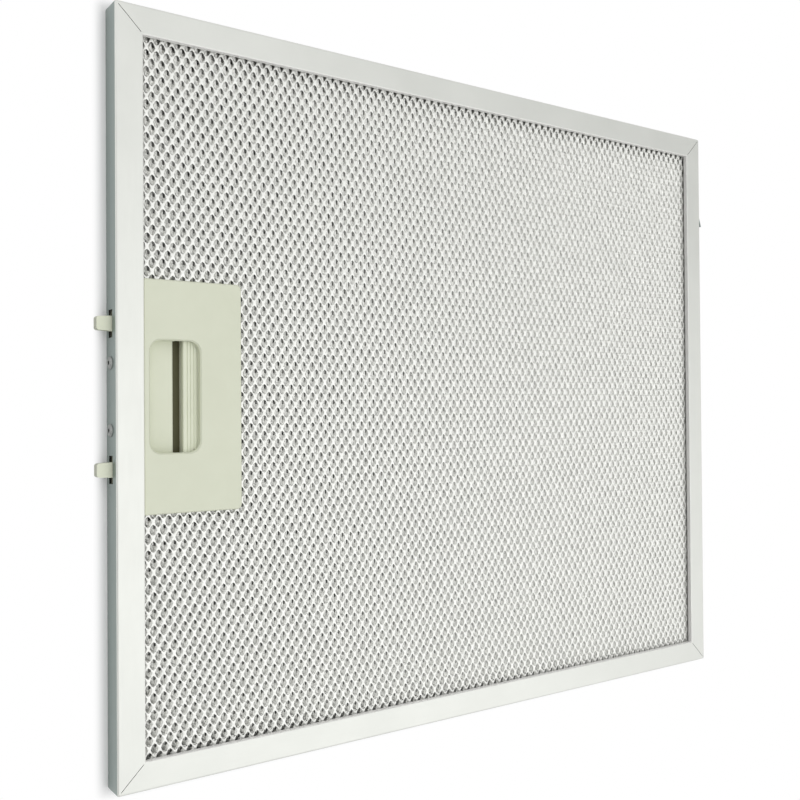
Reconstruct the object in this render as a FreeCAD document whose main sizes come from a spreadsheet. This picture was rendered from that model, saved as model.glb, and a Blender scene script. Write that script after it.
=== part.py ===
import FreeCAD, Part
import math
import os

import Sketcher

# Cooker hood grease filter: folded aluminium frame round a stack of expanded mesh, and a sprung latch handle.
# The filter lies on its back. X runs along its width with the handle at -X, Y runs along its height, and Z is
# up through its thickness. The origin is the middle of the rear face.

# Driving dimensions in millimetres: name, size, what it measures.
DIMENSIONS = [
    ("frame_width", 305.0, "frame, outside, along X"),
    ("frame_height", 267.0, "frame, outside, along Y"),
    ("frame_depth", 10.0, "frame, outside, along Z"),
    ("gauge", 0.7, "thickness of the frame's strip"),
    ("bar_width", 9.9, "width of the flanges seen from the front and the rear"),
    ("lip_depth", 2.0, "depth of the lip returned at a flange's inner edge"),
    ("corner_radius", 1.0, "fold of the web round a corner of the frame"),
    ("bend_radius", 0.8, "bend between the web and a flange"),
    ("lip_radius", 0.4, "bend between a flange and its lip"),
    ("mitre_gap", 0.2, "open joint where two flanges meet"),
    ("mitre_land", 1.3, "strip left whole outside the end of a mitre joint"),
    ("tongue_tip_height", 89.4, "free end of the spring tongue above the middle of the frame"),
    ("tongue_length", 16.0, "spring tongue, along Y"),
    ("tongue_width", 3.4, "spring tongue, along Z"),
    ("tongue_rise", 5.2, "reach of the spring tongue outside the web"),
    ("lance_gap", 0.3, "cut round the spring tongue"),
    ("sheet_edge_gap", 1.0, "space between a mesh sheet and the web"),
    ("face_sheet_depth", 1.2, "front and rear mesh, over their raised strands"),
    ("sheet_rim", 2.5, "plain rim of a mesh sheet inside the flanges and round the handle"),
    ("face_gap_width", 24.0, "opening of the front and rear mesh, along X"),
    ("face_gap_height", 30.0, "opening of the front and rear mesh, along Y"),
    ("face_strand", 4.0, "strand between two openings of the front and rear mesh"),
    ("inner_gap_width", 28.0, "opening of an inner mesh, along X"),
    ("inner_gap_height", 30.0, "opening of an inner mesh, along Y"),
    ("inner_strand", 27.0, "strand between two openings of an inner mesh"),
    ("bezel_width", 36.4, "handle's front plate, along X"),
    ("bezel_height", 81.0, "handle's front plate, along Y"),
    ("bezel_depth", 1.2, "thickness of the handle's front plate"),
    ("bezel_radius", 2.0, "corners of the front and rear plates"),
    ("bezel_bevel", 0.4, "bevelled edge of the front and rear plates"),
    ("bezel_overlap", 2.0, "plates reach over the mesh by this much"),
    ("rear_plate_depth", 1.0, "thickness of the handle's rear plate"),
    ("base_depth", 1.0, "thickness of the handle's base inside the mesh"),
    ("fit_gap", 0.2, "running space between the latch and what guides it, and round the handle"),
    ("seat_gap", 0.1, "space between the handle's plates and the lips"),
    ("wall", 1.2, "walls of the handle's box"),
    ("roof", 1.0, "roof of the handle's box under the front plate"),
    ("finger_margin", 2.2, "front plate left of the finger recess"),
    ("finger_width", 18.3, "finger recess, along X"),
    ("finger_height", 39.0, "finger recess, along Y"),
    ("finger_depth", 4.2, "finger recess, from the front plate to its floor"),
    ("finger_radius", 4.0, "corners of the finger recess"),
    ("finger_bevel", 0.5, "bevelled rim of the finger recess"),
    ("floor_length", 9.9, "floor of the finger recess, along X"),
    ("floor_depth", 1.0, "thickness of the recess's floor"),
    ("floor_round", 0.9, "rounded end of the recess's floor"),
    ("guide_thickness", 1.0, "ribs that guide the latch"),
    ("grip_gap", 2.9, "opening between the recess's floor and the grip, at rest"),
    ("grip_length", 7.9, "grip, along X"),
    ("grip_round", 0.5, "rounded front edge of the grip"),
    ("groove_width", 0.5, "grooves of the grip, along X"),
    ("groove_depth", 0.25, "grooves of the grip, along Z"),
    ("groove_pitch", 1.2, "from one groove of the grip to the next"),
    ("arm_depth", 3.0, "arms and pegs of the latch, along Z"),
    ("peg_pitch", 49.5, "from one peg of the latch to the other"),
    ("peg_height", 5.4, "peg at its root, along Y"),
    ("peg_tip_height", 4.6, "peg at its tip, along Y"),
    ("peg_reach", 5.2, "pegs outside the web, at rest"),
    ("peg_round", 0.9, "rounded tip of a peg"),
    ("peg_slot_length", 9.5, "slot in the web, along Y"),
    ("peg_slot_gap", 0.4, "space between a peg and its slot, along Z"),
    ("shoulder_length", 2.0, "stop shoulders of the latch, along X"),
    ("shoulder_height", 12.5, "stop shoulders of the latch, along Y"),
    ("stop_gap", 0.3, "space at the latch's stop and at the ends of its spring"),
    ("spring_span", 44.0, "bowed spring, from end to end along Y"),
    ("spring_gauge", 0.4, "thickness of the spring's strip"),
    ("spring_width", 2.6, "width of the spring's strip"),
    ("rivet_pitch", 22.9, "from one rivet to the other"),
    ("rivet_head", 4.6, "diameter of a rivet's head"),
    ("rivet_head_depth", 0.7, "height of a rivet's head"),
    ("rivet_head_bevel", 0.5, "bevelled edge of a rivet's head"),
    ("rivet_shank", 2.4, "diameter of a rivet's shank"),
    ("rivet_length", 8.0, "shank of a rivet below its head"),
    ("rivet_bore", 1.4, "hollow left by a rivet's mandrel"),
    ("rivet_play", 0.2, "holes for the rivets are wider by this much"),
    ("boss_height", 6.0, "boss that takes a rivet, along Y"),
]
INNER_SHEET_COUNT = 5
GRIP_GROOVE_COUNT = 5
SAME_PLACE = 0.001

# Places that several pieces share, as expressions of the driving dimensions.
HALF_WIDTH = "Dims.frame_width / 2"
HALF_HEIGHT = "Dims.frame_height / 2"
WINDOW_X = "(Dims.frame_width / 2 - Dims.bar_width)"
WINDOW_Y = "(Dims.frame_height / 2 - Dims.bar_width)"
STACK_TOP = "(Dims.frame_depth - Dims.lip_depth)"
BEZEL_LEFT = "(-Dims.frame_width / 2 + Dims.bar_width + Dims.seat_gap)"
BEZEL_RIGHT = f"({BEZEL_LEFT} + Dims.bezel_width)"
BEZEL_TOP = f"({STACK_TOP} + Dims.bezel_depth)"
BEZEL_Y = "Dims.bezel_height / 2"
BOX_LEFT = "(-Dims.frame_width / 2 + Dims.gauge + Dims.fit_gap)"
BOX_RIGHT = f"({BEZEL_RIGHT} - Dims.bezel_overlap)"
BOX_Y = "(Dims.bezel_height / 2 - Dims.bezel_overlap)"
CAVITY_RIGHT = f"({BOX_RIGHT} - Dims.wall)"
CAVITY_BOTTOM = "(Dims.lip_depth + Dims.base_depth)"
CAVITY_TOP = f"({STACK_TOP} - Dims.roof)"
FINGER_LEFT = f"({BEZEL_LEFT} + Dims.finger_margin)"
FINGER_RIGHT = f"({FINGER_LEFT} + Dims.finger_width)"
FINGER_Y = "Dims.finger_height / 2"
FLOOR_TOP = f"({BEZEL_TOP} - Dims.finger_depth)"
FLOOR_RIGHT = f"({FINGER_LEFT} + Dims.floor_length)"
LATCH_BOTTOM = f"({CAVITY_BOTTOM} + Dims.fit_gap)"
LATCH_MIDDLE = f"({LATCH_BOTTOM} + Dims.arm_depth / 2)"
LATCH_Y = "((Dims.peg_pitch + Dims.peg_height) / 2)"
GRIP_LEFT = f"({FLOOR_RIGHT} + Dims.grip_gap)"
GRIP_RIGHT = f"({GRIP_LEFT} + Dims.grip_length)"
GRIP_TOP = f"({CAVITY_TOP} - Dims.fit_gap)"
STOP_X = "(-Dims.frame_width / 2 + Dims.gauge + Dims.stop_gap)"
RIVET_Y = "Dims.rivet_pitch / 2"

doc = FreeCAD.newDocument("grease_filter")
dims = doc.addObject("Spreadsheet::Sheet", "Dims")
for row, (alias, size, meaning) in enumerate(DIMENSIONS, 1):
    dims.set(f"A{row}", meaning)
    dims.set(f"B{row}", str(size))
    dims.setAlias(f"B{row}", alias)
doc.recompute()


def amount(expression):
    """Return the size in millimetres of an expression of the driving dimensions."""
    return float(dims.evalExpression(expression))


def new_body(label):
    """Start a sub-part whose file takes the label."""
    body = doc.addObject("PartDesign::Body", label)
    body.Label = label
    return body


def new_sketch(body, name, offset, plane="XY_Plane"):
    """Start a sketch on one of the body's own origin planes, moved along its normal."""
    sketch = body.newObject("Sketcher::SketchObject", name)
    support = next(part for part in body.Origin.OriginFeatures if part.Role == plane)
    sketch.AttachmentSupport = [(support, "")]
    sketch.MapMode = "FlatFace"
    sketch.setExpression("AttachmentOffset.Base.z", offset)
    return sketch


def hold_point(sketch, geometry, position, across, along):
    """Hold a point of the sketch at two distances from its origin."""
    for kind, expression in (("DistanceX", across), ("DistanceY", along)):
        held = Sketcher.Constraint(kind, -1, 1, geometry, position, amount(expression))
        sketch.setExpression(f"Constraints[{sketch.addConstraint(held)}]", expression)


def add_outline(sketch, corners):
    """Draw a closed outline of straight lines through corners given as pairs of expressions."""
    points = [FreeCAD.Vector(amount(across), amount(along), 0) for across, along in corners]
    ends = points[1:] + points[:1]
    lines = [sketch.addGeometry(Part.LineSegment(start, end)) for start, end in zip(points, ends)]
    for line, following in zip(lines, lines[1:] + lines[:1]):
        sketch.addConstraint(Sketcher.Constraint("Coincident", line, 2, following, 1))
    for line, (across, along) in zip(lines, corners):
        hold_point(sketch, line, 1, across, along)


def add_rectangle(sketch, left, right, bottom, top):
    """Draw a rectangle whose sides are held by expressions."""
    add_outline(sketch, [(left, bottom), (right, bottom), (right, top), (left, top)])


def add_circle(sketch, across, along, diameter):
    """Draw a circle whose centre and diameter are held by expressions."""
    centre = FreeCAD.Vector(amount(across), amount(along), 0)
    ring = sketch.addGeometry(Part.Circle(centre, FreeCAD.Vector(0, 0, 1), amount(diameter) / 2))
    hold_point(sketch, ring, 3, across, along)
    held = sketch.addConstraint(Sketcher.Constraint("Diameter", ring, amount(diameter)))
    sketch.setExpression(f"Constraints[{held}]", diameter)


def add_feature(body, kind, name, sketch, length, reverse):
    """Add a pad or a pocket of the given length."""
    feature = body.newObject(f"PartDesign::{kind}", name)
    feature.Profile = sketch
    feature.Reversed = reverse
    feature.setExpression("Length", length)
    return feature


def pad(body, name, sketch, length, down=False):
    """Add material from the sketch along its normal, or against it."""
    return add_feature(body, "Pad", name, sketch, length, down)


def pocket(body, name, sketch, length, up=False):
    """Cut from the sketch against its normal, or along it."""
    before = solid_volume(body)
    cut = add_feature(body, "Pocket", name, sketch, length, up)
    if solid_volume(body) >= before:
        raise RuntimeError(f"{body.Label}: {name} cuts nothing")
    return cut


def solid_volume(body):
    """Return the volume of the body as it stands."""
    doc.recompute()
    return body.Tip.Shape.Volume


def dress_edges(body, kind, name, prop, size, chosen):
    """Dress each edge of the body as it stands that the test picks."""
    doc.recompute()
    base = body.Tip
    edges = [f"Edge{place}" for place, edge in enumerate(base.Shape.Edges, 1) if chosen(edge.BoundBox)]
    if not edges:
        raise RuntimeError(f"{body.Label}: {name} finds no edge")
    dressing = body.newObject(f"PartDesign::{kind}", name)
    dressing.Base = (base, edges)
    dressing.setExpression(prop, size)


def fillet(body, name, radius, chosen):
    """Round the edges that the test picks."""
    dress_edges(body, "Fillet", name, "Radius", radius, chosen)


def bevel(body, name, size, chosen):
    """Bevel the edges that the test picks."""
    dress_edges(body, "Chamfer", name, "Size", size, chosen)


def close(first, second):
    """Tell whether two places are the same."""
    return abs(first - second) < SAME_PLACE


def flat_at(box, level):
    """Tell whether an edge's box lies in the horizontal plane at a level."""
    return close(box.ZMin, level) and close(box.ZMax, level)


def upright_at(box, across):
    """Tell whether an edge's box is a vertical line at one place along X."""
    upright = close(box.XLength, 0) and close(box.YLength, 0) and box.ZLength > SAME_PLACE
    return upright and close(box.XMin, across)


def both_sides(expression):
    """Return an expression and its mirror image, for pieces on both sides of the middle."""
    return (f"({expression})", f"-({expression})")


def make_frame():
    """Fold the channel section round four corners, then punch its webs and lance the tongue."""
    body = new_body("frame")
    depth = amount("Dims.frame_depth")
    outline = new_sketch(body, "FrameOutline", "0")
    add_rectangle(outline, f"-{HALF_WIDTH}", HALF_WIDTH, f"-{HALF_HEIGHT}", HALF_HEIGHT)
    pad(body, "FrameBlock", outline, "Dims.frame_depth")
    fillet(body, "CornerFolds", "Dims.corner_radius", lambda box: close(box.ZLength, depth))
    fillet(body, "WebBends", "Dims.bend_radius", lambda box: close(box.ZLength, 0))

    window = new_sketch(body, "Window", "Dims.frame_depth")
    add_rectangle(window, f"-{WINDOW_X}", WINDOW_X, f"-{WINDOW_Y}", WINDOW_Y)
    pocket(body, "WindowCut", window, "Dims.frame_depth")
    channel = new_sketch(body, "Channel", "Dims.frame_depth - Dims.gauge")
    inside_x = f"({HALF_WIDTH} - Dims.gauge)"
    inside_y = f"({HALF_HEIGHT} - Dims.gauge)"
    add_rectangle(channel, f"-{inside_x}", inside_x, f"-{inside_y}", inside_y)
    pocket(body, "ChannelCut", channel, "Dims.frame_depth - 2 * Dims.gauge")

    for side, level, down in (("Front", "Dims.frame_depth", True), ("Rear", "0", False)):
        lip = new_sketch(body, f"{side}Lip", level)
        lip_x = f"({WINDOW_X} + Dims.gauge)"
        lip_y = f"({WINDOW_Y} + Dims.gauge)"
        add_rectangle(lip, f"-{lip_x}", lip_x, f"-{lip_y}", lip_y)
        add_rectangle(lip, f"-{WINDOW_X}", WINDOW_X, f"-{WINDOW_Y}", WINDOW_Y)
        pad(body, f"{side}LipFold", lip, "Dims.lip_depth", down)
    reach = amount(WINDOW_X) + SAME_PLACE

    def lip_edge(box):
        at_window = max(abs(box.XMin), abs(box.XMax)) < reach
        return at_window and (flat_at(box, 0) or flat_at(box, depth))

    fillet(body, "LipBends", "Dims.lip_radius", lip_edge)

    mitres = new_sketch(body, "Mitres", "Dims.frame_depth")
    half_gap = "Dims.mitre_gap / sqrt(2)"
    inner = "Dims.bar_width + Dims.gauge"
    for east in (1, -1):
        for north in (1, -1):
            inner_x = f"{east} * ({HALF_WIDTH} - {inner})"
            outer_x = f"{east} * ({HALF_WIDTH} - Dims.mitre_land)"
            inner_y = f"{north} * ({HALF_HEIGHT} - {inner})"
            outer_y = f"{north} * ({HALF_HEIGHT} - Dims.mitre_land)"
            add_outline(
                mitres,
                [
                    (f"{inner_x} - {half_gap}", inner_y),
                    (f"{outer_x} - {half_gap}", outer_y),
                    (f"{outer_x} + {half_gap}", outer_y),
                    (f"{inner_x} + {half_gap}", inner_y),
                ],
            )
    pocket(body, "MitreCuts", mitres, "Dims.frame_depth")

    punched = new_sketch(body, "PegSlots", f"-{HALF_WIDTH}", "YZ_Plane")
    half_slot = "(Dims.arm_depth / 2 + Dims.peg_slot_gap)"
    for middle in both_sides("Dims.peg_pitch / 2"):
        add_rectangle(
            punched,
            f"{middle} - Dims.peg_slot_length / 2",
            f"{middle} + Dims.peg_slot_length / 2",
            f"{LATCH_MIDDLE} - {half_slot}",
            f"{LATCH_MIDDLE} + {half_slot}",
        )
    for middle in both_sides(RIVET_Y):
        add_circle(punched, middle, LATCH_MIDDLE, "Dims.rivet_shank + Dims.rivet_play")
    pocket(body, "PegSlotCuts", punched, "Dims.gauge", up=True)

    root = "(Dims.tongue_tip_height + Dims.tongue_length)"
    half_tongue = "Dims.tongue_width / 2"
    lance = new_sketch(body, "Lance", HALF_WIDTH, "YZ_Plane")
    add_rectangle(
        lance,
        "Dims.tongue_tip_height - Dims.lance_gap",
        root,
        f"Dims.frame_depth / 2 - {half_tongue} - Dims.lance_gap",
        f"Dims.frame_depth / 2 + {half_tongue} + Dims.lance_gap",
    )
    pocket(body, "LanceCut", lance, "Dims.gauge")
    tongue = new_sketch(body, "Tongue", f"Dims.frame_depth / 2 - {half_tongue}")
    add_outline(
        tongue,
        [
            (f"{HALF_WIDTH} - Dims.gauge", root),
            (HALF_WIDTH, root),
            (f"{HALF_WIDTH} + Dims.tongue_rise", "Dims.tongue_tip_height"),
            (f"{HALF_WIDTH} + Dims.tongue_rise - Dims.gauge", "Dims.tongue_tip_height"),
        ],
    )
    pad(body, "TongueFold", tongue, "Dims.tongue_width")
    return body


def gap_centres(gap_width, gap_height, strand, shift):
    """Yield the middles of staggered openings that fill the window and clear the handle."""
    spread = 1 + strand * math.hypot(gap_width, gap_height) / (gap_width * gap_height)
    rim = amount("Dims.sheet_rim")
    limit_x = amount(WINDOW_X) - rim - gap_width / 2
    limit_y = amount(WINDOW_Y) - rim - gap_height / 2
    columns = math.floor(4 * limit_x / (gap_width * spread))
    rows = math.floor(4 * limit_y / (gap_height * spread))
    handle_x = amount(BEZEL_RIGHT) + rim + gap_width / 2
    handle_y = amount(BEZEL_Y) + rim + gap_height / 2
    for row in range(rows + 1):
        y = limit_y * (2 * row / rows - 1)
        for column in range((row + shift) % 2, columns + 1, 2):
            x = limit_x * (2 * column / columns - 1)
            if x > handle_x or abs(y) > handle_y:
                yield x, y


def make_sheet(label, bottom, depth, gap_width, gap_height, strand, shift):
    """Cut an expanded sheet with its openings and the notch for the handle."""
    edge_x = amount(f"{HALF_WIDTH} - Dims.gauge - Dims.sheet_edge_gap")
    edge_y = amount(f"{HALF_HEIGHT} - Dims.gauge - Dims.sheet_edge_gap")
    notch_x = amount(f"{BOX_RIGHT} + Dims.fit_gap")
    notch_y = amount(f"{BOX_Y} + Dims.fit_gap")
    corners = [(-edge_x, -edge_y), (edge_x, -edge_y), (edge_x, edge_y), (-edge_x, edge_y)]
    corners += [(-edge_x, notch_y), (notch_x, notch_y), (notch_x, -notch_y), (-edge_x, -notch_y)]
    wires = [closed_wire(corners)]
    for x, y in gap_centres(gap_width, gap_height, strand, shift):
        sides = [(x - gap_width / 2, y), (x, y - gap_height / 2), (x + gap_width / 2, y)]
        wires.append(closed_wire(sides + [(x, y + gap_height / 2)]))
    sheet = doc.addObject("Part::Feature", label)
    sheet.Label = label
    face = Part.makeFace(wires, "Part::FaceMakerBullseye")
    sheet.Shape = face.extrude(FreeCAD.Vector(0, 0, depth))
    sheet.Placement = FreeCAD.Placement(FreeCAD.Vector(0, 0, bottom), FreeCAD.Rotation())
    return sheet


def closed_wire(corners):
    """Join corners given as pairs of millimetres into a closed wire."""
    points = [FreeCAD.Vector(x, y, 0) for x, y in corners]
    return Part.makePolygon(points + points[:1])


def make_mesh_stack():
    """Lay the rear sheet, the inner sheets and the front sheet on one another between the lips."""
    face_depth = amount("Dims.face_sheet_depth")
    face_mesh = [amount(f"Dims.face_{name}") for name in ("gap_width", "gap_height", "strand")]
    inner_mesh = [amount(f"Dims.inner_{name}") for name in ("gap_width", "gap_height", "strand")]
    rear_bottom = amount("Dims.lip_depth")
    front_bottom = amount(STACK_TOP) - face_depth
    inner_bottom = rear_bottom + face_depth
    inner_depth = (front_bottom - inner_bottom) / INNER_SHEET_COUNT
    sheets = [make_sheet("rear_mesh", rear_bottom, face_depth, *face_mesh, 0)]
    for place in range(INNER_SHEET_COUNT):
        label = f"inner_mesh_{place + 1}"
        bottom = inner_bottom + place * inner_depth
        sheets.append(make_sheet(label, bottom, inner_depth, *inner_mesh, place % 2))
    sheets.append(make_sheet("front_mesh", front_bottom, face_depth, *face_mesh, 0))
    return sheets


def make_plate(body, name, level, depth, down):
    """Pad one of the handle's outer plates, with its free corners rounded and its outer edge bevelled."""
    outline = new_sketch(body, f"{name}Outline", level)
    add_rectangle(outline, BEZEL_LEFT, BEZEL_RIGHT, f"-{BEZEL_Y}", BEZEL_Y)
    pad(body, name, outline, depth, down)
    right = amount(BEZEL_RIGHT)
    outer = amount(f"{level} - {depth}" if down else f"{level} + {depth}")
    fillet(body, f"{name}Corners", "Dims.bezel_radius", lambda box: upright_at(box, right))
    bevel(body, f"{name}Edge", "Dims.bezel_bevel", lambda box: flat_at(box, outer))


def make_housing():
    """Mould the handle's front plate with its box, finger recess, guide ribs and rivet bosses."""
    body = new_body("handle_housing")
    make_plate(body, "FrontPlate", STACK_TOP, "Dims.bezel_depth", False)
    cavity_height = f"({CAVITY_TOP} - {CAVITY_BOTTOM})"

    box = new_sketch(body, "BoxOutline", STACK_TOP)
    add_rectangle(box, BOX_LEFT, BOX_RIGHT, f"-{BOX_Y}", BOX_Y)
    pad(body, "Box", box, f"{STACK_TOP} - {CAVITY_BOTTOM}", down=True)
    cavity = new_sketch(body, "Cavity", CAVITY_BOTTOM)
    cavity_y = f"({BOX_Y} - Dims.wall)"
    add_rectangle(cavity, f"{BOX_LEFT} - Dims.wall", CAVITY_RIGHT, f"-{cavity_y}", cavity_y)
    pocket(body, "CavityCut", cavity, cavity_height, up=True)

    tray = new_sketch(body, "TrayOutline", CAVITY_TOP)
    tray_y = f"({FINGER_Y} + Dims.wall)"
    add_rectangle(tray, f"{FINGER_LEFT} - Dims.wall", FLOOR_RIGHT, f"-{tray_y}", tray_y)
    pad(body, "Tray", tray, f"{CAVITY_TOP} - {FLOOR_TOP} + Dims.floor_depth", down=True)
    ribs = new_sketch(body, "GuideRibs", CAVITY_TOP)
    rib_left = f"{FINGER_LEFT} - Dims.wall"
    rib_right = f"{CAVITY_RIGHT} + Dims.wall / 2"
    for middle in both_sides(f"{LATCH_Y} + Dims.fit_gap + Dims.guide_thickness / 2"):
        rib_bottom = f"{middle} - Dims.guide_thickness / 2"
        add_rectangle(ribs, rib_left, rib_right, rib_bottom, f"{middle} + Dims.guide_thickness / 2")
    pad(body, "GuideRibPads", ribs, cavity_height, down=True)
    bosses = new_sketch(body, "Bosses", CAVITY_TOP)
    for middle in both_sides(RIVET_Y):
        boss_bottom = f"{middle} - Dims.boss_height / 2"
        boss_top = f"{middle} + Dims.boss_height / 2"
        add_rectangle(bosses, BOX_LEFT, f"{FINGER_LEFT} - Dims.wall / 2", boss_bottom, boss_top)
    pad(body, "BossPads", bosses, cavity_height, down=True)
    bores = new_sketch(body, "RivetBores", f"-{HALF_WIDTH}", "YZ_Plane")
    for middle in both_sides(RIVET_Y):
        add_circle(bores, middle, LATCH_MIDDLE, "Dims.rivet_shank + Dims.rivet_play")
    pocket(body, "RivetBoreCuts", bores, "Dims.rivet_length + Dims.rivet_play", up=True)

    finger = new_sketch(body, "FingerRecess", BEZEL_TOP)
    add_rectangle(finger, FINGER_LEFT, FINGER_RIGHT, f"-{FINGER_Y}", FINGER_Y)
    pocket(body, "FingerRecessCut", finger, "Dims.finger_depth")
    left = amount(FINGER_LEFT)
    right = amount(FINGER_RIGHT)
    reach = amount(FINGER_Y)
    top = amount(BEZEL_TOP)
    floor_top = amount(FLOOR_TOP)
    floor_right = amount(FLOOR_RIGHT)

    def recess_corner(box):
        at_side = upright_at(box, left) or upright_at(box, right)
        return at_side and close(abs(box.YMin), reach) and close(box.ZMax, top)

    def recess_rim(box):
        across = left - SAME_PLACE < box.XMin and box.XMax < right + SAME_PLACE
        inside = across and box.YMax < reach + SAME_PLACE
        return inside and flat_at(box, top)

    def floor_end(box):
        at_end = close(box.XMin, floor_right) and close(box.XMax, floor_right)
        return at_end and flat_at(box, floor_top) and box.YLength > reach

    fillet(body, "RecessCorners", "Dims.finger_radius", recess_corner)
    bevel(body, "RecessRim", "Dims.finger_bevel", recess_rim)
    fillet(body, "FloorEnd", "Dims.floor_round", floor_end)
    return body


def make_base():
    """Mould the cover that closes the handle from behind."""
    body = new_body("handle_base")
    make_plate(body, "RearPlate", "Dims.lip_depth", "Dims.rear_plate_depth", True)
    spigot = new_sketch(body, "SpigotOutline", "Dims.lip_depth")
    add_rectangle(spigot, BOX_LEFT, BOX_RIGHT, f"-{BOX_Y}", BOX_Y)
    pad(body, "Spigot", spigot, "Dims.base_depth")
    return body


def make_slider():
    """Mould the latch: a grip across two arms that end in stop shoulders and pegs."""
    body = new_body("latch_slider")
    grip = new_sketch(body, "GripOutline", LATCH_BOTTOM)
    add_rectangle(grip, GRIP_LEFT, GRIP_RIGHT, f"-{LATCH_Y}", LATCH_Y)
    pad(body, "Grip", grip, f"{GRIP_TOP} - {LATCH_BOTTOM}")
    grip_left = amount(GRIP_LEFT)
    grip_top = amount(GRIP_TOP)
    fillet(
        body,
        "GripEdge",
        "Dims.grip_round",
        lambda box: flat_at(box, grip_top) and close(box.XMax, grip_left),
    )
    groove = new_sketch(body, "GrooveOutline", GRIP_TOP)
    groove_left = f"({GRIP_LEFT} + Dims.groove_pitch)"
    add_rectangle(groove, groove_left, f"{groove_left} + Dims.groove_width", f"-{LATCH_Y}", LATCH_Y)
    cut = pocket(body, "Groove", groove, "Dims.groove_depth")
    grooves = body.newObject("PartDesign::LinearPattern", "Grooves")
    grooves.Originals = [cut]
    grooves.Direction = (groove, ["H_Axis"])
    grooves.setExpression("Length", f"Dims.groove_pitch * {GRIP_GROOVE_COUNT - 1}")
    grooves.Occurrences = GRIP_GROOVE_COUNT
    body.Tip = grooves

    arms = new_sketch(body, "Arms", LATCH_BOTTOM)
    shoulders = new_sketch(body, "Shoulders", LATCH_BOTTOM)
    pegs = new_sketch(body, "Pegs", LATCH_BOTTOM)
    arm_left = f"({STOP_X} + Dims.shoulder_length / 2)"
    tip_x = f"(-{HALF_WIDTH} - Dims.peg_reach)"
    for middle in both_sides("Dims.peg_pitch / 2"):
        half_root = "Dims.peg_height / 2"
        half_tip = "Dims.peg_tip_height / 2"
        half_stop = "Dims.shoulder_height / 2"
        add_rectangle(arms, arm_left, GRIP_RIGHT, f"{middle} - {half_root}", f"{middle} + {half_root}")
        stop_right = f"{STOP_X} + Dims.shoulder_length"
        add_rectangle(shoulders, STOP_X, stop_right, f"{middle} - {half_stop}", f"{middle} + {half_stop}")
        add_outline(
            pegs,
            [
                (arm_left, f"{middle} - {half_root}"),
                (arm_left, f"{middle} + {half_root}"),
                (tip_x, f"{middle} + {half_tip}"),
                (tip_x, f"{middle} - {half_tip}"),
            ],
        )
    pad(body, "ArmPads", arms, "Dims.arm_depth")
    pad(body, "ShoulderPads", shoulders, "Dims.arm_depth")
    pad(body, "PegPads", pegs, "Dims.arm_depth")
    tip = amount(tip_x)
    fillet(body, "PegTips", "Dims.peg_round", lambda box: upright_at(box, tip))
    return body


def make_primitive(kind, name, sizes, place):
    """Add a block or a cylinder whose sizes and place are expressions."""
    solid = doc.addObject(f"Part::{kind}", name)
    for prop, expression in sizes.items():
        solid.setExpression(prop, expression)
    for axis, expression in zip("xyz", place):
        solid.setExpression(f"Placement.Base.{axis}", expression)
    return solid


def make_boolean(kind, name, base, tool):
    """Cut, fuse or intersect two solids."""
    result = doc.addObject(f"Part::{kind}", name)
    result.Base = base
    result.Tool = tool
    return result


def make_spring():
    """Bow the strip that pushes the latch out, with its crown at the grip and its ends at the box's wall."""
    crown = f"({GRIP_RIGHT} + Dims.stop_gap)"
    sag = f"({CAVITY_RIGHT} - {GRIP_RIGHT} - 2 * Dims.stop_gap)"
    radius = f"(((Dims.spring_span / 2) ^ 2 + {sag} ^ 2) / (2 * {sag}))"
    bottom = f"{LATCH_MIDDLE} - Dims.spring_width / 2"
    centre = (f"{crown} + {radius}", "0", bottom)
    outer = make_primitive("Cylinder", "BowOuter", {"Radius": radius, "Height": "Dims.spring_width"}, centre)
    inner_sizes = {"Radius": f"{radius} - Dims.spring_gauge", "Height": "Dims.spring_width"}
    inner = make_primitive("Cylinder", "BowInner", inner_sizes, centre)
    ring = make_boolean("Cut", "BowRing", outer, inner)
    span_sizes = {"Length": sag, "Width": "Dims.spring_span", "Height": "Dims.spring_width"}
    span = make_primitive("Box", "BowSpan", span_sizes, (crown, "-Dims.spring_span / 2", bottom))
    spring = make_boolean("Common", "return_spring", ring, span)
    spring.Label = "return_spring"
    return spring


def make_rivets():
    """Set two hollow rivets with low bevelled heads through the web, their shanks along X."""
    head_sizes = {"Radius": "Dims.rivet_head / 2", "Height": "Dims.rivet_head_depth"}
    shank_sizes = {"Radius": "Dims.rivet_shank / 2", "Height": "Dims.rivet_head_depth + Dims.rivet_length"}
    bore_sizes = {"Radius": "Dims.rivet_bore / 2", "Height": "Dims.rivet_head_depth + Dims.rivet_length / 2"}
    along_x = FreeCAD.Rotation(FreeCAD.Vector(0, 1, 0), 90)
    head_x = f"-{HALF_WIDTH} - Dims.rivet_head_depth"
    rivets = []
    for side, middle in zip(("Upper", "Lower"), both_sides(RIVET_Y)):
        place = (head_x, middle, LATCH_MIDDLE)
        head, shank, bore = (
            make_primitive("Cylinder", f"{side}Rivet{name}", sizes, place)
            for name, sizes in (("Head", head_sizes), ("Shank", shank_sizes), ("Bore", bore_sizes))
        )
        for solid in (head, shank, bore):
            solid.Placement = FreeCAD.Placement(solid.Placement.Base, along_x)
        doc.recompute()
        face_x = amount(head_x)
        bevelled = doc.addObject("Part::Chamfer", f"{side}RivetBevel")
        bevelled.Base = head
        size = amount("Dims.rivet_head_bevel")
        bevelled.Edges = [
            (place, size, size)
            for place, edge in enumerate(head.Shape.Edges, 1)
            if close(edge.BoundBox.XMax, face_x)
        ]
        whole = make_boolean("Fuse", f"{side}RivetSolid", bevelled, shank)
        rivets.append(make_boolean("Cut", f"{side}Rivet", whole, bore))
    group = doc.addObject("Part::Compound", "handle_rivets")
    group.Label = "handle_rivets"
    group.Links = rivets
    return group


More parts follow.
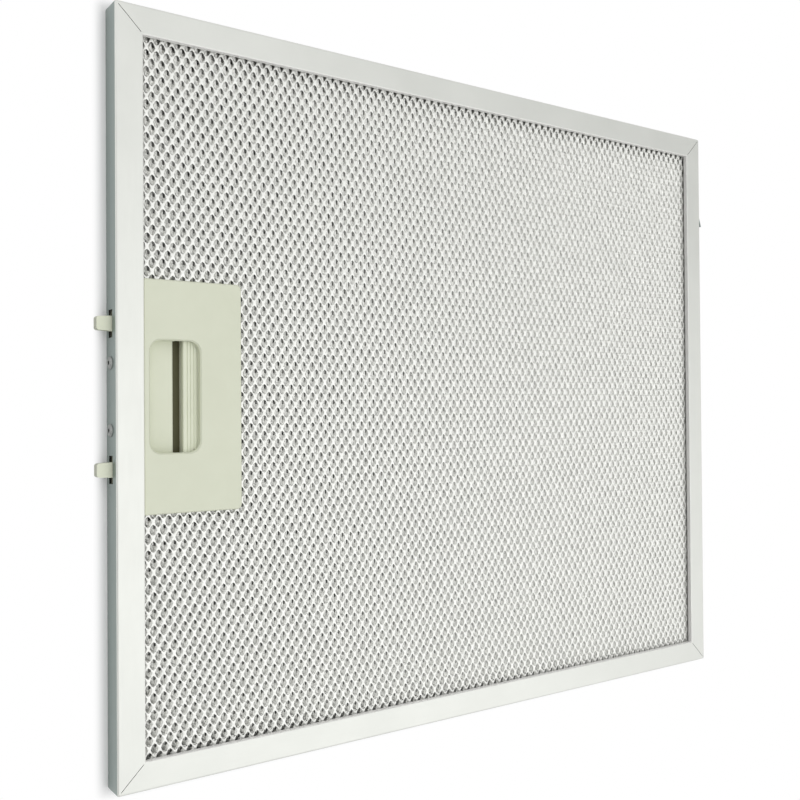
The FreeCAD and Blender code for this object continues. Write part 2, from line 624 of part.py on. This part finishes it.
def check_document(sub_parts):
    """Stop if any object failed to compute or any sub-part isn't a valid solid."""
    for item in doc.Objects:
        if {"Invalid", "Error"} & set(item.State):
            raise RuntimeError(f"{item.Label} failed: {item.State}")
    for part in sub_parts:
        if part.Shape.isNull() or not part.Shape.isValid() or not part.Shape.Solids:
            raise RuntimeError(f"{part.Label} is not a valid solid")


def main():
    """Build every sub-part and write each to its own file."""
    sub_parts = [make_frame(), *make_mesh_stack(), make_housing(), make_base(), make_slider()]
    sub_parts += [make_spring(), make_rivets()]
    doc.recompute()
    check_document(sub_parts)
    os.makedirs("parts", exist_ok=True)
    for part in sub_parts:
        part.Shape.exportStep(f"parts/{part.Label}.step")


main()
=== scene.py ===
import math

import bpy
import numpy as np
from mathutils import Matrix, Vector


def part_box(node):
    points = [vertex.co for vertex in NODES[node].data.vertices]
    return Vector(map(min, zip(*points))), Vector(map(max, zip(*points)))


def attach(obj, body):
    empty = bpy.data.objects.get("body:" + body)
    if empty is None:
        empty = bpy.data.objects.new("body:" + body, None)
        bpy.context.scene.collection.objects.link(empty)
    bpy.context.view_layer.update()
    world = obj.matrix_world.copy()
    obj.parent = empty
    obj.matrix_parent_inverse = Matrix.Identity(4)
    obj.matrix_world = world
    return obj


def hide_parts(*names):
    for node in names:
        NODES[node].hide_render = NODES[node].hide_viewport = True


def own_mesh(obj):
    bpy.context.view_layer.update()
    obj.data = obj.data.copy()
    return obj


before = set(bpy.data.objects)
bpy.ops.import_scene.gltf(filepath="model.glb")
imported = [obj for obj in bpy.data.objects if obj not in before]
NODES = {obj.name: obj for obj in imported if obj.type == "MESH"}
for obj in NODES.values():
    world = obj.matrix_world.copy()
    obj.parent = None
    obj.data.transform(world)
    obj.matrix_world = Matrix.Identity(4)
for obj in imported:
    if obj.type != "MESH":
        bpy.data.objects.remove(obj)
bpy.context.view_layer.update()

# Cooker hood grease filter, lying on its back. The frame, handle, latch and rivets are the CAD nodes with
# better materials. Each mesh sheet is replaced by expanded metal with small cells, and the spring by a copy
# of the same form with its own mesh. All lengths are metres.

# Camera of the photograph, in the part's frame.
CAMERA_PLACE = (-0.25938, -0.00559, 0.32857)
CAMERA_TURN_DEG = (0.6665, -34.939, -0.3923)
CAMERA_FOCAL_PX = 966.0
IMAGE_PX = 800
SENSOR_MM = 36.0
CLIP_START = 0.01

# Expanded metal is a lattice of staggered nodes, each joined to four others by slanting arms.
# cell: distance to the next node along X and along Y; half_node: half of a node's width and height;
# arm: width of an arm at its middle; lean_deg and twist_deg: turn of the nodes and of the arms about Y;
# crown: rise of a node's middle; gauge: depth of its underside.
FACE_MESH = dict(
    cell=(0.00370, 0.00575), half_node=(0.00047, 0.00090), arm=0.00021,
    lean_deg=6.0, twist_deg=6.0, crown=0.00006, gauge=0.00025,
)
FOIL_MESH = dict(
    cell=(0.00370, 0.00575), half_node=(0.00112, 0.00178), arm=0.00110,
    lean_deg=34.0, twist_deg=38.0, crown=0.00004, gauge=0.00016,
)
DEEP_MESH = dict(
    cell=(0.00600, 0.00900), half_node=(0.00110, 0.00150), arm=0.00090,
    lean_deg=12.0, twist_deg=20.0, crown=0.00004, gauge=0.00014,
)
# Each sheet's mesh, and how far its pattern is shifted along X, Y and Z.
SHEETS = {
    "front_mesh": (FACE_MESH, (0.0, 0.0, 0.0)),
    "inner_mesh_5": (FOIL_MESH, (0.00070, 0.00140, 0.00004)),
    "inner_mesh_4": (DEEP_MESH, (0.0011, 0.0007, 0.0)),
    "inner_mesh_3": (DEEP_MESH, (0.0026, 0.0031, 0.0)),
    "inner_mesh_2": (DEEP_MESH, (0.0002, 0.0052, 0.0)),
    "inner_mesh_1": (FOIL_MESH, (0.0015, 0.00250, -0.00004)),
    "rear_mesh": (FACE_MESH, (0.0008, 0.0011, 0.0)),
}
# Sheets that show outside, those right behind them, and those that are turned to the rear.
FACE_SHEETS = ("front_mesh", "rear_mesh")
SECOND_SHEETS = ("inner_mesh_5", "inner_mesh_1")
REAR_SHEETS = ("inner_mesh_1", "rear_mesh")
# The least distance from the middle of a node to the edge of its CAD sheet, and the most that it lies inside
# the handle's outline.
SELVEDGE = 0.0026
NOTCH_INSET = 0.0018
# Size of the slow bends of a sheet's pattern, share of it that the fast bends have, radians per metre of the
# slow and fast waves, and phases of the waves.
WARP = 0.00010
FAST_SHARE = 0.6
WARP_WAVES = (95.0, 140.0)
SLOW_PHASES = (1.3, 0.4)
FAST_PHASES = (0.0, 2.1)
# Spread of the crowns and undersides about the middles of their nodes, and the seed of that spread.
JITTER = 0.00002
SEED = 7
# Corners whose places are the same to this many decimals are joined.
WELD_DIGITS = 7


# Shapes


def lattice(cell, shift, reach):
    """Return the middles of the nodes of an expanded sheet that lie within reach of the part's middle."""
    columns = math.ceil(2 * reach[0] / cell[0]) + 2
    rows = math.ceil(reach[1] / cell[1]) + 2
    column, row = np.meshgrid(np.arange(-columns, columns + 1), np.arange(-rows, rows + 1), indexing="ij")
    x = column * cell[0] / 2 + shift[0]
    y = (row + (column % 2) / 2) * cell[1] + shift[1]
    nodes = np.stack([x.ravel(), y.ravel()], axis=1)
    return nodes[(np.abs(nodes) < np.array(reach)).all(axis=1)]


def node_shape(cell, half_node, arm, lean_deg, twist_deg, crown, gauge):
    """Return the corners of one node with half of each arm, and its triangles.

    The first twelve corners go round the outline, the next one is the crown and the last one is the
    underside.
    """
    middle = np.array(cell) / 4
    across = np.array([middle[1], -middle[0]]) / np.hypot(*middle) * arm / 2
    rise = across[0] * math.tan(math.radians(twist_deg))
    waist = half_node[0], 0.0, half_node[0] * math.tan(math.radians(lean_deg))
    tip = 0.0, half_node[1], 0.0
    arm_edges = (*(middle + across), rise), (*(middle - across), -rise)
    outline = [waist, *arm_edges, tip]
    outline += [(-x, y, -z) for x, y, z in (*arm_edges[::-1], waist)]
    outline += [(-x, -y, -z) for x, y, z in (*arm_edges, tip)]
    outline += [(x, -y, z) for x, y, z in arm_edges[::-1]]
    sides = len(outline)
    corners = np.zeros((sides + 2, 3))
    corners[:sides] = outline
    corners[sides, 2] = crown
    corners[sides + 1, 2] = -gauge
    top = [(number, (number + 1) % sides, sides) for number in range(sides)]
    under = [((number + 1) % sides, number, sides + 1) for number in range(sides)]
    return corners, np.array(top + under)


def warped(points):
    """Bend a sheet's pattern a little out of true, as stretching leaves it."""
    slow, fast = WARP_WAVES
    x, y = points[..., 0], points[..., 1]
    along_x = np.sin(slow * y + SLOW_PHASES[0]) + FAST_SHARE * np.sin(fast * (x + y) + FAST_PHASES[0])
    along_y = np.sin(slow * x + SLOW_PHASES[1]) + FAST_SHARE * np.sin(fast * (x - y) + FAST_PHASES[1])
    return points + WARP * np.stack([along_x, along_y, np.zeros_like(x)], axis=-1)


def sheet_shape(node, mesh, shift, random):
    """Return the corners and triangles of one expanded sheet, laid at the middle depth of its CAD node."""
    low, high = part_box(node)
    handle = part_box("handle_housing")[1]
    nodes = lattice(mesh["cell"], shift, (high.x - SELVEDGE, high.y - SELVEDGE))
    in_notch = (nodes[:, 0] < handle.x - NOTCH_INSET) & (np.abs(nodes[:, 1]) < handle.y - NOTCH_INSET)
    nodes = nodes[~in_notch]
    shape, triangles = node_shape(**mesh)
    if node in REAR_SHEETS:
        shape = shape * (1.0, 1.0, -1.0)
        triangles = triangles[:, ::-1]
    points = np.repeat(shape[None], len(nodes), axis=0)
    points[:, -2:, :2] += random.normal(0.0, JITTER, (len(nodes), 2, 2))
    points[:, :, :2] += nodes[:, None, :]
    points[:, :, 2] += (low.z + high.z) / 2 + shift[2]
    points = warped(points).reshape(-1, 3)
    corners, place = np.unique(points.round(WELD_DIGITS), axis=0, return_inverse=True)
    numbers = triangles[None] + np.arange(len(nodes))[:, None, None] * len(shape)
    return corners.tolist(), place.reshape(-1)[numbers.reshape(-1, 3)].tolist()


def new_object(name, data):
    """Add an object with a mesh, a lamp or a camera to the scene."""
    thing = bpy.data.objects.new(name, data)
    bpy.context.scene.collection.objects.link(thing)
    return thing


def new_piece(name, corners, faces, material):
    """Make a mesh object of the filter."""
    mesh = bpy.data.meshes.new(name)
    mesh.from_pydata(corners, [], faces)
    mesh.validate()
    mesh.materials.append(material)
    return new_object(name, mesh)


# Materials

# Half of the frame's width and height, its depth, width of its flanges, height of their lips, radius of its
# corners, and depth within which the web and the lips are painted.
FRAME_HALF = (0.1525, 0.1335)
FRAME_DEPTH = 0.010
FLANGE = 0.0099
LIP = 0.002
CORNER_RADIUS = 0.001
SKIN = 0.0001
FRAME_METALLIC = 0.75
# Painted shade on the web, darker and greener than the face; painted light on the lips; painted shade inside
# the channel, seen through the peg slots.
WEB_PAINTED_SHADE = (0.273, 0.325, 0.307)
LIP_PAINTED_LIGHT = (0.95, 0.94, 0.92)
CHANNEL_PAINTED_SHADE = (0.04, 0.04, 0.04)
# The bottom of the slot beside the grip is the top of the handle's base; it gets painted shade, dark as a
# deep slot.
SLOT_PAINTED_SHADE = (0.085, 0.083, 0.036)
BASE_TOP = 0.003
# Darkest and lightest colour of the mouldings and of the foil.
IVORY = (0.675, 0.70, 0.56), (0.71, 0.735, 0.595)
LATCH_IVORY = (0.70, 0.728, 0.582), (0.738, 0.764, 0.619)
BRIGHT_FOIL = (0.60, 0.605, 0.575), (1.0, 1.0, 0.96)
# The deep sheets' foil is a darker copy of the bright foil, darkened by painted shade.
PAINTED_SHADE_FOIL = (0.13, 0.13, 0.125), (0.22, 0.22, 0.21)
# Most values of a noise texture lie in this range.
NOISE_RANGE = (0.3, 0.7)


class Shader:
    """A material with a Principled shader and short ways to add nodes to it."""

    def __init__(self, name):
        self.material = bpy.data.materials.new(name)
        self.material.use_nodes = True
        self.nodes = self.material.node_tree.nodes
        self.links = self.material.node_tree.links
        self.principled = self.nodes["Principled BSDF"]
        self.place = self.nodes.new("ShaderNodeTexCoord").outputs["Object"]

    def set(self, **values):
        """Set constant values on the Principled shader's own sockets."""
        for key, value in values.items():
            self.principled.inputs[key.replace("_", " ")].default_value = value

    def noise(self, stretch, detail=3.0, roughness=0.55):
        """Return noise over the part, with so many features per metre along each axis."""
        mapping = self.nodes.new("ShaderNodeMapping")
        mapping.inputs["Scale"].default_value = stretch
        self.links.new(self.place, mapping.inputs["Vector"])
        texture = self.nodes.new("ShaderNodeTexNoise")
        texture.inputs["Scale"].default_value = 1.0
        texture.inputs["Detail"].default_value = detail
        texture.inputs["Roughness"].default_value = roughness
        self.links.new(mapping.outputs["Vector"], texture.inputs["Vector"])
        return texture.outputs["Fac"]

    def spread(self, value, low, high):
        """Return noise with its usual range stretched to the range from low to high."""
        node = self.nodes.new("ShaderNodeMapRange")
        node.inputs["From Min"].default_value = NOISE_RANGE[0]
        node.inputs["From Max"].default_value = NOISE_RANGE[1]
        node.inputs["To Min"].default_value = low
        node.inputs["To Max"].default_value = high
        self.links.new(value, node.inputs["Value"])
        return node.outputs["Result"]

    def colours(self, value, dark, light):
        """Colour the surface between two linear colours, and return the colour."""
        node = self.nodes.new("ShaderNodeMix")
        node.data_type = "RGBA"
        node.inputs["A"].default_value = (*dark, 1.0)
        node.inputs["B"].default_value = (*light, 1.0)
        self.links.new(self.spread(value, 0.0, 1.0), node.inputs["Factor"])
        self.links.new(node.outputs["Result"], self.principled.inputs["Base Color"])
        return node.outputs["Result"]

    def tint(self, colour, *areas):
        """Give areas, each a mask and a linear colour, a colour of their own."""
        for mask, own in areas:
            node = self.nodes.new("ShaderNodeMix")
            node.data_type = "RGBA"
            node.inputs["B"].default_value = (*own, 1.0)
            self.links.new(mask, node.inputs["Factor"])
            self.links.new(colour, node.inputs["A"])
            colour = node.outputs["Result"]
        self.links.new(colour, self.principled.inputs["Base Color"])

    def rough(self, value, low, high):
        """Vary the roughness between two values."""
        self.links.new(self.spread(value, low, high), self.principled.inputs["Roughness"])

    def bump(self, height, distance, strength=1.0):
        """Raise the surface by a height map, by so many metres."""
        node = self.nodes.new("ShaderNodeBump")
        node.inputs["Distance"].default_value = distance
        node.inputs["Strength"].default_value = strength
        self.links.new(height, node.inputs["Height"])
        self.links.new(node.outputs["Normal"], self.principled.inputs["Normal"])

    def axes(self):
        """Return the X, Y and Z of a place on the part."""
        node = self.nodes.new("ShaderNodeSeparateXYZ")
        self.links.new(self.place, node.inputs["Vector"])
        return node.outputs["X"], node.outputs["Y"], node.outputs["Z"]

    def math(self, operation, first, second=None):
        """Return the result of an operation on one or two values, each a socket or a number."""
        node = self.nodes.new("ShaderNodeMath")
        node.operation = operation
        for socket, value in zip(node.inputs, (first, second)):
            if isinstance(value, (int, float)):
                socket.default_value = value
            elif value is not None:
                self.links.new(value, socket)
        return node.outputs["Value"]


def frame_areas(shader):
    """Return masks of the frame's side bars, its web, its lips and the inside of its channel."""
    x, y, z = shader.axes()
    from_side = shader.math("SUBTRACT", shader.math("ABSOLUTE", x), FRAME_HALF[0])
    from_end = shader.math("SUBTRACT", shader.math("ABSOLUTE", y), FRAME_HALF[1])
    on_side = shader.math("GREATER_THAN", from_side, from_end)
    past_x = shader.math("MAXIMUM", shader.math("ADD", from_side, CORNER_RADIUS), 0.0)
    past_y = shader.math("MAXIMUM", shader.math("ADD", from_end, CORNER_RADIUS), 0.0)
    squares = shader.math("ADD", shader.math("POWER", past_x, 2.0), shader.math("POWER", past_y, 2.0))
    on_web = shader.math("GREATER_THAN", shader.math("SQRT", squares), CORNER_RADIUS - SKIN)
    on_lip = shader.math("LESS_THAN", shader.math("MAXIMUM", from_side, from_end), SKIN - FLANGE)
    from_middle = shader.math("ABSOLUTE", shader.math("SUBTRACT", z, FRAME_DEPTH / 2))
    in_channel = shader.math("LESS_THAN", from_middle, FRAME_DEPTH / 2 - LIP - SKIN)
    inside = shader.math("MULTIPLY", in_channel, shader.math("SUBTRACT", 1.0, on_web))
    return on_side, on_web, on_lip, inside


def frame_aluminium():
    """Satin strip with rolling grain along each bar, with painted shade on the web and inside the channel,
    and non-metallic painted light on the lips.
    """
    shader = Shader("frame_aluminium")
    on_side, on_web, on_lip, inside = frame_areas(shader)
    grain = shader.nodes.new("ShaderNodeMix")
    shader.links.new(on_side, grain.inputs["Factor"])
    shader.links.new(shader.noise((60.0, 2600.0, 2600.0), detail=4.0), grain.inputs["A"])
    shader.links.new(shader.noise((2600.0, 60.0, 2600.0), detail=4.0), grain.inputs["B"])
    lines = grain.outputs["Result"]
    cloud = shader.noise((38.0, 38.0, 38.0))
    face = shader.colours(cloud, (0.66, 0.671, 0.634), (0.70, 0.71, 0.672))
    # Painted shade on the web and inside the channel, and painted light on the lips.
    shader.tint(face, (on_web, WEB_PAINTED_SHADE), (on_lip, LIP_PAINTED_LIGHT), (inside, CHANNEL_PAINTED_SHADE))
    metal = shader.math("MULTIPLY", shader.math("SUBTRACT", 1.0, on_lip), FRAME_METALLIC)
    shader.links.new(metal, shader.principled.inputs["Metallic"])
    shader.rough(lines, 0.32, 0.42)
    shader.bump(lines, 0.000006)
    return shader.material


def mesh_aluminium():
    """Bright drawn strands of the face sheets."""
    shader = Shader("mesh_aluminium")
    shader.set(Metallic=0.55)
    shader.colours(shader.noise((420.0, 260.0, 420.0)), (0.81, 0.815, 0.78), (0.88, 0.885, 0.85))
    shader.rough(shader.noise((900.0, 240.0, 900.0)), 0.36, 0.50)
    shader.bump(shader.noise((5200.0, 700.0, 5200.0)), 0.00001)
    return shader.material


def foil_aluminium(name, dark, light):
    """Thin, crinkled foil of the inner sheets."""
    shader = Shader(name)
    shader.set(Metallic=0.95)
    shader.colours(shader.noise((1100.0, 600.0, 1100.0)), dark, light)
    shader.rough(shader.noise((800.0, 300.0, 800.0)), 0.34, 0.46)
    shader.bump(shader.noise((1700.0, 1300.0, 1700.0)), 0.00030)
    return shader.material


def moulded_plastic(name, dark, light, painted_shade_height=None):
    """Ivory moulding with a fine matt grain, with painted shade above a height if one is given."""
    shader = Shader(name)
    shader.set(Specular_IOR_Level=0.35)
    colour = shader.colours(shader.noise((55.0, 55.0, 55.0)), dark, light)
    if painted_shade_height is not None:
        # Painted shade on the top face, at the bottom of the slot beside the grip.
        height = shader.axes()[2]
        shader.tint(colour, (shader.math("GREATER_THAN", height, painted_shade_height), SLOT_PAINTED_SHADE))
    grain = shader.noise((5200.0, 5200.0, 5200.0), detail=2.0)
    shader.rough(grain, 0.42, 0.56)
    shader.bump(grain, 0.000012, 0.7)
    return shader.material


def spring_steel():
    """Blank strip steel with its rolling lines along the spring."""
    shader = Shader("spring_steel")
    shader.set(Metallic=1.0)
    lines = shader.noise((900.0, 90.0, 6000.0), detail=4.0)
    shader.colours(lines, (0.42, 0.42, 0.41), (0.58, 0.58, 0.57))
    shader.rough(lines, 0.24, 0.40)
    shader.bump(lines, 0.000004)
    return shader.material


def rivet_aluminium():
    """Blank rivets, lightly marked by the setting tool."""
    shader = Shader("rivet_aluminium")
    shader.set(Metallic=1.0)
    marks = shader.noise((1800.0, 1800.0, 1800.0), detail=4.0)
    shader.colours(marks, (0.20, 0.21, 0.20), (0.32, 0.33, 0.32))
    shader.rough(marks, 0.30, 0.48)
    shader.bump(marks, 0.00002)
    return shader.material


# Stage

# The floor and the wall round it look white and throw back less light than that. The filter's shadow on the
# floor fades out within SHADOW_REACH of the frame.
FLOOR_RADIUS = 2.6
FLOOR_SIDES = 96
FLOOR_LEVEL = -0.00005
BACKDROP_HEIGHT = 1.1
FLOOR_COLOUR = (0.90, 0.90, 0.90)
FLOOR_BOUNCE = (0.30, 0.30, 0.30)
SHADOW_REACH = 0.005
# Strength of the sky, the axis along which it changes, and its share of that strength by how far along the
# axis a direction points.
SKY_STRENGTH = 1.1
SKY_AXIS = (0.97, 0.24, 0.0)
SKY_SHARES = {-0.74: 0.05, -0.52: 1.0, 0.45: 1.0, 0.80: 0.60}
# Place, width and length, and power in watts of each lamp.
LAMPS = {
    "soft_box": ((0.55, -0.20, 1.05), (1.0, 1.3), 2.1),
    "side_box": ((-1.20, 0.30, 0.45), (1.6, 0.4), 2.0),
}
LAMP_AIM = Vector((0.0, 0.0, 0.0))


def ring(height):
    """Return the corners of the floor's edge at a height."""
    turn = np.linspace(0.0, 2 * math.pi, FLOOR_SIDES, endpoint=False)
    level = np.full(FLOOR_SIDES, height)
    return np.stack([np.cos(turn) * FLOOR_RADIUS, np.sin(turn) * FLOOR_RADIUS, level], axis=1).tolist()


def seen_directly(nodes, links):
    """Return 1 where a ray comes from the camera, a reflection or a clear surface, and else 0."""
    path = nodes.new("ShaderNodeLightPath")
    value = path.outputs["Is Camera Ray"]
    for name in ("Is Glossy Ray", "Is Transmission Ray"):
        most = nodes.new("ShaderNodeMath")
        most.operation = "MAXIMUM"
        links.new(value, most.inputs[0])
        links.new(path.outputs[name], most.inputs[1])
        value = most.outputs["Value"]
    return value


def stage_piece(name, corners, faces):
    """Add a piece of the stage and return its material's nodes and links, with no shader yet."""
    mesh = bpy.data.meshes.new(name)
    mesh.from_pydata(corners, [], faces)
    material = bpy.data.materials.new(f"{name}_white")
    material.use_nodes = True
    material.cycles.emission_sampling = "NONE"
    mesh.materials.append(material)
    piece = new_object(name, mesh)
    nodes, links = material.node_tree.nodes, material.node_tree.links
    nodes.remove(nodes["Principled BSDF"])
    return nodes, links


def outside_shadow(nodes, links):
    """Return 0 under the frame's outline, rising to 1 at the reach of the shadow outside it."""
    place = nodes.new("ShaderNodeTexCoord")
    size = nodes.new("ShaderNodeVectorMath")
    size.operation = "ABSOLUTE"
    links.new(place.outputs["Object"], size.inputs[0])
    beyond = nodes.new("ShaderNodeVectorMath")
    beyond.operation = "SUBTRACT"
    beyond.inputs[1].default_value = (*FRAME_HALF, 0.0)
    links.new(size.outputs["Vector"], beyond.inputs[0])
    outside = nodes.new("ShaderNodeVectorMath")
    outside.operation = "MAXIMUM"
    links.new(beyond.outputs["Vector"], outside.inputs[0])
    distance = nodes.new("ShaderNodeVectorMath")
    distance.operation = "LENGTH"
    links.new(outside.outputs["Vector"], distance.inputs[0])
    share = nodes.new("ShaderNodeMapRange")
    share.interpolation_type = "SMOOTHSTEP"
    share.inputs["From Max"].default_value = SHADOW_REACH
    links.new(distance.outputs["Value"], share.inputs["Value"])
    return share.outputs["Result"]


def show_white(nodes, links, share, diffuse):
    """Let a piece of the stage look white by a share, and by its diffuse shader for the rest."""
    white = nodes.new("ShaderNodeEmission")
    mix = nodes.new("ShaderNodeMixShader")
    links.new(share, mix.inputs["Fac"])
    links.new(diffuse.outputs["BSDF"], mix.inputs[1])
    links.new(white.outputs["Emission"], mix.inputs[2])
    links.new(mix.outputs["Shader"], nodes["Material Output"].inputs["Surface"])


def make_floor():
    """Lay a floor that looks white and keeps the filter's shadow close to the frame."""
    nodes, links = stage_piece("floor", ring(FLOOR_LEVEL), [list(range(FLOOR_SIDES))])
    seen = seen_directly(nodes, links)
    colour = nodes.new("ShaderNodeMix")
    colour.data_type = "RGBA"
    links.new(seen, colour.inputs["Factor"])
    colour.inputs["A"].default_value = (*FLOOR_BOUNCE, 1.0)
    colour.inputs["B"].default_value = (*FLOOR_COLOUR, 1.0)
    diffuse = nodes.new("ShaderNodeBsdfDiffuse")
    links.new(colour.outputs["Result"], diffuse.inputs["Color"])
    share = nodes.new("ShaderNodeMath")
    share.operation = "MULTIPLY"
    links.new(seen, share.inputs[0])
    links.new(outside_shadow(nodes, links), share.inputs[1])
    show_white(nodes, links, share.outputs["Value"], diffuse)


def make_backdrop():
    """Stand a wall round the floor that looks white and throws back less light than that."""
    low = np.arange(FLOOR_SIDES)
    following = (low + 1) % FLOOR_SIDES
    faces = np.stack([low, low + FLOOR_SIDES, following + FLOOR_SIDES, following], axis=1).tolist()
    nodes, links = stage_piece("backdrop", ring(FLOOR_LEVEL) + ring(BACKDROP_HEIGHT), faces)
    diffuse = nodes.new("ShaderNodeBsdfDiffuse")
    diffuse.inputs["Color"].default_value = (*FLOOR_BOUNCE, 1.0)
    show_white(nodes, links, seen_directly(nodes, links), diffuse)


def make_sky():
    """Light the studio softly, from a sky that is dark on the handle's side and dimmer on the far side."""
    world = bpy.data.worlds.new("studio")
    bpy.context.scene.world = world
    world.use_nodes = True
    nodes, links = world.node_tree.nodes, world.node_tree.links
    place = nodes.new("ShaderNodeTexCoord")
    along = nodes.new("ShaderNodeVectorMath")
    along.operation = "DOT_PRODUCT"
    along.inputs[1].default_value = SKY_AXIS
    links.new(place.outputs["Generated"], along.inputs[0])
    reach = nodes.new("ShaderNodeMapRange")
    reach.inputs["From Min"].default_value = -1.0
    links.new(along.outputs["Value"], reach.inputs["Value"])
    share = nodes.new("ShaderNodeValToRGB")
    stops = share.color_ramp.elements
    while len(stops) < len(SKY_SHARES):
        stops.new(0.5)
    for stop, (distance, level) in zip(stops, SKY_SHARES.items()):
        stop.position = (distance + 1) / 2
        stop.color = (level, level, level, 1.0)
    links.new(reach.outputs["Result"], share.inputs["Fac"])
    background = nodes["Background"]
    background.inputs["Strength"].default_value = SKY_STRENGTH
    links.new(share.outputs["Color"], background.inputs["Color"])


def make_lamp(name, place, size, power):
    """Hang a soft box that faces the filter."""
    light = bpy.data.lights.new(name, "AREA")
    light.shape = "RECTANGLE"
    light.size, light.size_y = size
    light.energy = power
    lamp = new_object(name, light)
    lamp.location = place
    lamp.rotation_euler = (LAMP_AIM - lamp.location).to_track_quat("-Z", "Y").to_euler()
    lamp.visible_camera = False


def make_camera():
    """Set up the photograph's camera."""
    lens = bpy.data.cameras.new("camera")
    lens.sensor_width = SENSOR_MM
    lens.lens = CAMERA_FOCAL_PX / IMAGE_PX * SENSOR_MM
    lens.clip_start = CLIP_START
    camera = new_object("camera", lens)
    camera.location = CAMERA_PLACE
    camera.rotation_mode = "ZXY"
    camera.rotation_euler = [math.radians(turn) for turn in CAMERA_TURN_DEG]
    bpy.context.scene.camera = camera


def paint(node, material):
    """Give a CAD node its material."""
    NODES[node].data.materials.clear()
    NODES[node].data.materials.append(material)


def make_sheets():
    """Replace the CAD sheets by expanded metal."""
    # The deep sheets get the foil darkened by painted shade, the second sheets the bright foil.
    materials = dict.fromkeys(SHEETS, foil_aluminium("painted_shade_foil", *PAINTED_SHADE_FOIL))
    materials.update(dict.fromkeys(SECOND_SHEETS, foil_aluminium("foil_aluminium", *BRIGHT_FOIL)))
    materials.update(dict.fromkeys(FACE_SHEETS, mesh_aluminium()))
    random = np.random.default_rng(SEED)
    for node, (mesh, shift) in SHEETS.items():
        corners, triangles = sheet_shape(node, mesh, shift, random)
        piece = new_piece(f"{node}_strands", corners, triangles, materials[node])
        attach(piece, "filter")
        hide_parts(node)


def make_spring():
    """Replace the CAD spring by a copy of the same form in spring steel, with its own mesh."""
    mesh = NODES["return_spring"].data.copy()
    mesh.materials.clear()
    mesh.materials.append(spring_steel())
    spring = new_object("return_spring_strip", mesh)
    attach(spring, "filter")
    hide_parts("return_spring")
    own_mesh(spring)


def main():
    """Dress the filter, light it and set the camera."""
    bpy.context.scene.view_settings.view_transform = "Standard"
    make_camera()
    make_floor()
    make_backdrop()
    make_sky()
    for name, (place, size, power) in LAMPS.items():
        make_lamp(name, place, size, power)
    paint("frame", frame_aluminium())
    paint("handle_housing", moulded_plastic("ivory_plastic", *IVORY))
    # The top of the handle's base, at the bottom of the slot, gets painted shade.
    paint("handle_base", moulded_plastic("base_plastic", *IVORY, painted_shade_height=BASE_TOP - SKIN))
    paint("latch_slider", moulded_plastic("latch_plastic", *LATCH_IVORY))
    paint("handle_rivets", rivet_aluminium())
    make_sheets()
    make_spring()


main()
